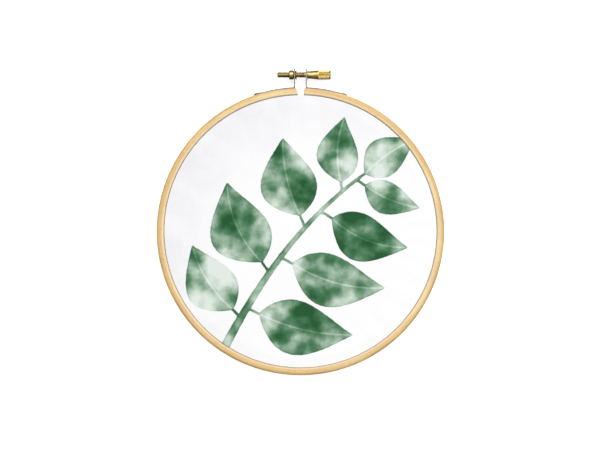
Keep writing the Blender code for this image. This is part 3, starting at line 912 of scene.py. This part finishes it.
zinc_steel = plated_steel()
for word, side, hole_r in (("left", -1, LEFT_HOLE_R), ("right", 1, RIGHT_HOLE_R)):
    bracket = pressed_strip("bracket_strip_" + word, side, hole_r, FOOT_LIFTS[word])
    bracket.data.materials.append(zinc_steel)
    sheet_metal = bracket.modifiers.new("sheet metal", "SOLIDIFY")
    sheet_metal.thickness = STRIP_THICK
    sheet_metal.offset = 0.0
    sheet_metal.use_even_offset = True
    stamped_edge = bracket.modifiers.new("stamped edges", "BEVEL")
    stamped_edge.width = STRIP_EDGE_ROUNDING
    stamped_edge.segments = 2
    stamped_edge.limit_method = "ANGLE"
    stamped_edge.angle_limit = STRIP_EDGE_ANGLE
    bracket.modifiers.new("flat faces", "WEIGHTED_NORMAL")
    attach(bracket, "hoop")
    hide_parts("bracket_" + word)


# Nut
# A turned brass nut whose neck passes through the hole of the left lug and is spread into a flange on
# the lug's other side, so that it stays with the bracket. Its bore takes the screw's thread.

NUT_R = 2.5 * MM
NUT_NECK_R = 2.0 * MM
NUT_BORE_R = 1.7 * MM
NUT_OUTER_END_X = -6.3 * MM
NUT_BODY_END_X = -3.85 * MM
NUT_FLANGE_X = -2.65 * MM
NUT_INNER_END_X = -2.15 * MM
NUT_EASING = 0.3 * MM
NUT_ROW_GAP = 0.3 * MM
NUT_TARNISH = 0.16 * MM
NUT_STEPS = 72
TURNED_SHARP_ANGLE = math.radians(40)
SCREW_TURN = Matrix.Rotation(math.pi / 2, 4, "Y")
SCREW_PLACE = Matrix.Translation((HOOP_X, HOOP_Y + SCREW_FROM_HOOP, SCREW_HEIGHT)) @ SCREW_TURN


def eased(profile, size, closed):
    """A profile with each corner turned into a short curve that starts the given size before it, or
    just short of halfway along the side where that is less."""
    points = [np.array(p, float) for p in profile]
    corners = range(len(points)) if closed else range(1, len(points) - 1)
    result = [] if closed else [points[0]]
    for i in corners:
        corner, before, after = points[i], points[i - 1], points[(i + 1) % len(points)]
        start = corner + (before - corner) * min(size / np.linalg.norm(before - corner), 0.45)
        end = corner + (after - corner) * min(size / np.linalg.norm(after - corner), 0.45)
        for share in (0, 1 / 3, 2 / 3, 1):
            result.append((1 - share) ** 2 * start + 2 * share * (1 - share) * corner + share**2 * end)
    return result if closed else result + [points[-1]]


def with_rows(profile, gap, closed):
    """A profile with points added, so that no two rows stand further apart than the gap."""
    result = []
    followers = profile[1:] + profile[:1] if closed else profile[1:]
    for point, following in zip(profile, followers):
        steps = max(1, math.ceil(np.linalg.norm(following - point) / gap))
        result += [point + (following - point) * i / steps for i in range(steps)]
    return result if closed else result + [profile[-1]]


def lathed(name, profile, steps, closed, sunk):
    """Brass turned about the screw's axis from a profile of (radius, height) points.

    sunk gives how deep the surface is cut in at a radius, height and angle. It is kept for the tarnish
    as the attribute brass_recess. A row on the axis is one point.
    """
    verts, recess, faces, rings = [], [], [], []
    for radius, height in profile:
        if radius < 0.001 * MM:
            rings.append([len(verts)] * steps)
            verts.append((0.0, 0.0, height))
            recess.append(0.0)
            continue
        rings.append(list(range(len(verts), len(verts) + steps)))
        for i in range(steps):
            angle = math.tau * i / steps
            deep = sunk(radius, height, angle)
            verts.append(((radius - deep) * math.cos(angle), (radius - deep) * math.sin(angle), height))
            recess.append(deep)
    for first, second in zip(rings, rings[1:] + rings[:1] if closed else rings[1:]):
        for i in range(steps):
            after = (i + 1) % steps
            corners = (first[i], first[after], second[after], second[i])
            faces.append(tuple(dict.fromkeys(corners)))
    made = finished_mesh(name, verts, faces, {"brass_recess": recess})
    made.data.transform(SCREW_PLACE)
    made.data.set_sharp_from_angle(angle=TURNED_SHARP_ANGLE)
    return made


def turned_brass():
    """Free-cutting brass, turned and left bare: a warm yellow metal with fine rings from the tool, a
    satin shine dulled by handling, and brown tarnish where cloth and fingers don't reach."""
    made = new_material("turned brass", Metallic=1.0)
    tree = made.node_tree
    shader = tree.nodes["Principled BSDF"]
    place = add_node(tree, "TexCoord", {}, {}).outputs["Object"]
    recess = add_node(tree, "Attribute", {"attribute_name": "brass_recess"}, {}).outputs["Fac"]

    # The tool's rings are 0.05 mm apart and are drawn at 0.2 mm, so that they can show.
    ring_scale = (1 / (0.2 * MM), 1 / (6 * MM), 1 / (6 * MM))
    ring_place = add_node(tree, "VectorMath", {"operation": "MULTIPLY", 1: ring_scale}, {0: place})
    rings = add_node(tree, "TexNoise", {"Scale": 1.0, "Detail": 3.0}, {"Vector": ring_place})
    stains = add_node(tree, "TexNoise", {"Scale": 1 / (1.6 * MM), "Detail": 4.0, "Roughness": 0.6},
                      {"Vector": place})
    bare = add_node(tree, "ValToRGB", {"stops": ((0.3, "#bfa25a"), (0.5, "#d1b772"), (0.7, "#dec98a"))},
                    {0: stains})
    hidden = add_node(tree, "MapRange", {1: 0.05 * MM, 2: 0.24 * MM, 3: 0.0, 4: 0.65}, {0: recess})
    tarnished = add_node(tree, "Mix", {"data_type": "RGBA", 7: linear("#80592c")},
                         {0: hidden, 6: bare.outputs[0]})
    tree.links.new(tarnished.outputs[2], shader.inputs["Base Color"])
    rough = add_node(tree, "MapRange", {1: 0.3, 2: 0.7, 3: 0.22, 4: 0.38}, {0: stains})
    tree.links.new(rough.outputs[0], shader.inputs["Roughness"])
    bump = add_node(tree, "Bump", {"Strength": 0.15, "Distance": 0.02 * MM}, {"Height": rings})
    tree.links.new(bump.outputs[0], shader.inputs["Normal"])
    return made


brass = turned_brass()
nut_profile = [
    (NUT_R, NUT_INNER_END_X),
    (NUT_R, NUT_FLANGE_X),
    (NUT_NECK_R, NUT_FLANGE_X),
    (NUT_NECK_R, NUT_BODY_END_X),
    (NUT_R, NUT_BODY_END_X),
    (NUT_R, NUT_OUTER_END_X),
    (NUT_BORE_R, NUT_OUTER_END_X),
    (NUT_BORE_R, NUT_INNER_END_X),
]
nut_rows = with_rows(eased(nut_profile, NUT_EASING, closed=True), NUT_ROW_GAP, closed=True)
nut = lathed("riveted_nut", nut_rows, NUT_STEPS, closed=True, sunk=lambda radius, height, angle: 0.0)
# Fingers polish the grip but not the nut, so the nut is as tarnished all over as a cut of this depth.
for point in nut.data.attributes["brass_recess"].data:
    point.value = NUT_TARNISH
nut.data.materials.append(brass)
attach(nut, "hoop")
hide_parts("clamp_nut")


# Thumbscrew
# Turned from one brass rod: a threaded shank, a shoulder that presses on the right lug, a tapered neck,
# and a grip with straight knurling and a slot for a screwdriver across its end.

SHANK_R = 1.5 * MM
SHANK_END_X = -12.8 * MM
SHANK_CHAMFER = 0.3 * MM
THREAD_PITCH = 0.5 * MM
THREAD_DEPTH = 0.13 * MM
THREAD_END_X = 3.0 * MM
THREAD_ROWS = 7
SHOULDER_R = 2.4 * MM
SHOULDER_START_X = 3.85 * MM
SHOULDER_END_X = 4.3 * MM
NECK_R = 1.95 * MM
GRIP_START_X = 9.15 * MM
GRIP_END_X = 16.7 * MM
GRIP_R = 2.55 * MM
GRIP_CHAMFER = 0.4 * MM
KNURLS = 36
KNURL_DEPTH = 0.19 * MM
KNURL_FROM_END = 0.55 * MM
GRIP_SLOT_WIDTH = 0.7 * MM
GRIP_SLOT_DEPTH = 1.0 * MM
GRIP_SLOT_TURN = math.radians(-30)
SCREW_EASING = 0.15 * MM
SCREW_STEPS = 180
SCREW_SLACK = 0.01 * MM


def ramp_up(value, start, end):
    """0 before start, 1 after end, and even between them."""
    return min(max((value - start) / (end - start), 0.0), 1.0)


def screw_cuts(radius, height, angle):
    """How deep the screw is cut at a place, by the thread on its shank or the knurls on its grip.

    The thread has a narrow flat crest and root, and both thread and knurls run out at their ends.
    """
    if height < THREAD_END_X and radius > SHANK_R - SCREW_SLACK:
        turn = (height / THREAD_PITCH - angle / math.tau) % 1.0
        groove = min(max(2.4 * min(turn, 1 - turn) - 0.1, 0.0), 1.0)
        return THREAD_DEPTH * groove * ramp_up(THREAD_END_X - height, 0, 2 * THREAD_PITCH)
    if height > GRIP_START_X and radius > GRIP_R - SCREW_SLACK:
        wave = 0.5 - 0.5 * math.cos(KNURLS * angle)
        from_end = min(height - GRIP_START_X, GRIP_END_X - height)
        return KNURL_DEPTH * wave**1.5 * ramp_up(from_end, KNURL_FROM_END, 1.5 * KNURL_FROM_END)
    return 0.0


def tarnish_slot(mesh, to_slot):
    """Marks the walls and the floor of the screwdriver's slot as recessed, the deeper the more."""
    recess = mesh.attributes["brass_recess"].data
    for vert in mesh.vertices:
        _, across, height = to_slot @ vert.co
        depth = GRIP_END_X - height
        if abs(across) < GRIP_SLOT_WIDTH / 2 + SCREW_SLACK and depth < GRIP_SLOT_DEPTH + SCREW_SLACK:
            recess[vert.index].value = max(0.0, depth)


screw_profile = [
    (0.0, GRIP_END_X),
    (GRIP_R - GRIP_CHAMFER, GRIP_END_X),
    (GRIP_R, GRIP_END_X - GRIP_CHAMFER),
    (GRIP_R, GRIP_START_X),
    (SHOULDER_R, GRIP_START_X),
    (NECK_R, SHOULDER_END_X),
    (SHOULDER_R, SHOULDER_END_X),
    (SHOULDER_R, SHOULDER_START_X),
    (SHANK_R, SHOULDER_START_X),
    (SHANK_R, SHANK_END_X + SHANK_CHAMFER),
    (SHANK_R - SHANK_CHAMFER, SHANK_END_X),
    (0.0, SHANK_END_X),
]
screw_curve = eased(screw_profile, SCREW_EASING, closed=False)
screw_rows = with_rows(screw_curve, THREAD_PITCH / THREAD_ROWS, closed=False)
thumbscrew = lathed("turned_thumbscrew", screw_rows, SCREW_STEPS, closed=False, sunk=screw_cuts)
slot_place = SCREW_PLACE @ Vector((0, 0, GRIP_END_X))
slot_turn = Matrix.Rotation(GRIP_SLOT_TURN, 4, "Z")
slot_size = (3 * GRIP_R, GRIP_SLOT_WIDTH, 2 * GRIP_SLOT_DEPTH)
cut(thumbscrew, [block(slot_size, slot_place, SCREW_TURN @ slot_turn)])
tarnish_slot(thumbscrew.data, (SCREW_PLACE @ slot_turn).inverted())
thumbscrew.data.materials.append(brass)
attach(thumbscrew, "thumbscrew")
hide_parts("thumbscrew")


# The studio
# A plain white table that glows a little, a white room that is brightest above and beyond the screw and
# dim at its sides, and one wide soft lamp high up, well beyond the screw. The camera looks straight down.

PHOTO_WIDTH = 600
PHOTO_HEIGHT = 450
PHOTO_MM_PER_PIXEL = 0.55 * MM
HOOP_MIDDLE_PIXEL = (300.47, 231.44)
CAMERA_LENS = 100
CAMERA_SENSOR = 36
TABLE_SIDE = 4.0
TABLE_BELOW = 0.02 * MM
LAMP_WIDTH = 1.5
LAMP_PLACE = (0.32, 1.02, 1.50)
LAMP_WATTS = 18.4
ROOM_BRIGHT_WAY = (0.15, 0.5, 1.0)
ROOM_DARK = 0.05
ROOM_BRIGHT = 1.0
TABLE_GLOW = 0.65

bpy.ops.mesh.primitive_plane_add(size=TABLE_SIDE, location=(0, 0, -TABLE_BELOW))
table = bpy.context.object
table.name = "table_top"
# Opal acrylic lit from below: an even white, finely mottled, on which no shadow shows.
table_white = new_material("lit white acrylic", Roughness=0.6, Emission_Color=(1.0, 1.0, 1.0, 1.0),
                           Emission_Strength=TABLE_GLOW)
table_tree = table_white.node_tree
table_place = add_node(table_tree, "TexCoord", {}, {}).outputs["Object"]
table_mottle = add_node(table_tree, "TexNoise", {"Scale": 9.0, "Detail": 3.0}, {"Vector": table_place})
table_colour = add_node(table_tree, "ValToRGB", {"stops": ((0.3, "#f8f8f8"), (0.7, "#fbfbfb"))},
                        {0: table_mottle})
table_tree.links.new(table_colour.outputs[0], table_tree.nodes["Principled BSDF"].inputs["Base Color"])
table.data.materials.append(table_white)
# The metal doesn't mirror the table, so that the brass keeps its dark undersides.
table.visible_glossy = False

world = bpy.data.worlds.new("studio_room")
world.use_nodes = True
room = world.node_tree
room_way = add_node(room, "TexCoord", {}, {}).outputs["Generated"]
room_facing = add_node(room, "VectorMath", {"operation": "DOT_PRODUCT", 1: ROOM_BRIGHT_WAY},
                       {0: room_way})
room_light = add_node(room, "MapRange", {1: 0.15, 2: 1.05, 3: ROOM_DARK, 4: ROOM_BRIGHT},
                      {0: room_facing.outputs["Value"]})
room.nodes["Background"].inputs["Color"].default_value = (1.0, 1.0, 1.0, 1.0)
room.links.new(room_light.outputs[0], room.nodes["Background"].inputs["Strength"])
bpy.context.scene.world = world

lamp = bpy.data.lights.new("soft_lamp", "AREA")
lamp.shape = "DISK"
lamp.size = LAMP_WIDTH
lamp.energy = LAMP_WATTS
lamp_stand = bpy.data.objects.new("soft_lamp", lamp)
lamp_stand.location = LAMP_PLACE
lamp_to_hoop = Vector((HOOP_X, HOOP_Y, 0)) - lamp_stand.location
lamp_stand.rotation_euler = lamp_to_hoop.to_track_quat("-Z", "Y").to_euler()
bpy.context.scene.collection.objects.link(lamp_stand)

view_width = PHOTO_WIDTH * PHOTO_MM_PER_PIXEL
camera = bpy.data.cameras.new("camera")
camera.lens = CAMERA_LENS
camera.sensor_width = CAMERA_SENSOR
camera.clip_start = 10 * MM
camera_stand = bpy.data.objects.new("camera", camera)
camera_stand.location = (
    HOOP_X + (PHOTO_WIDTH / 2 - HOOP_MIDDLE_PIXEL[0]) * PHOTO_MM_PER_PIXEL,
    HOOP_Y + (HOOP_MIDDLE_PIXEL[1] - PHOTO_HEIGHT / 2) * PHOTO_MM_PER_PIXEL,
    OUTER_RING_DEPTH + view_width * CAMERA_LENS / CAMERA_SENSOR,
)
bpy.context.scene.collection.objects.link(camera_stand)
bpy.context.scene.camera = camera_stand
bpy.context.scene.view_settings.view_transform = "Standard"
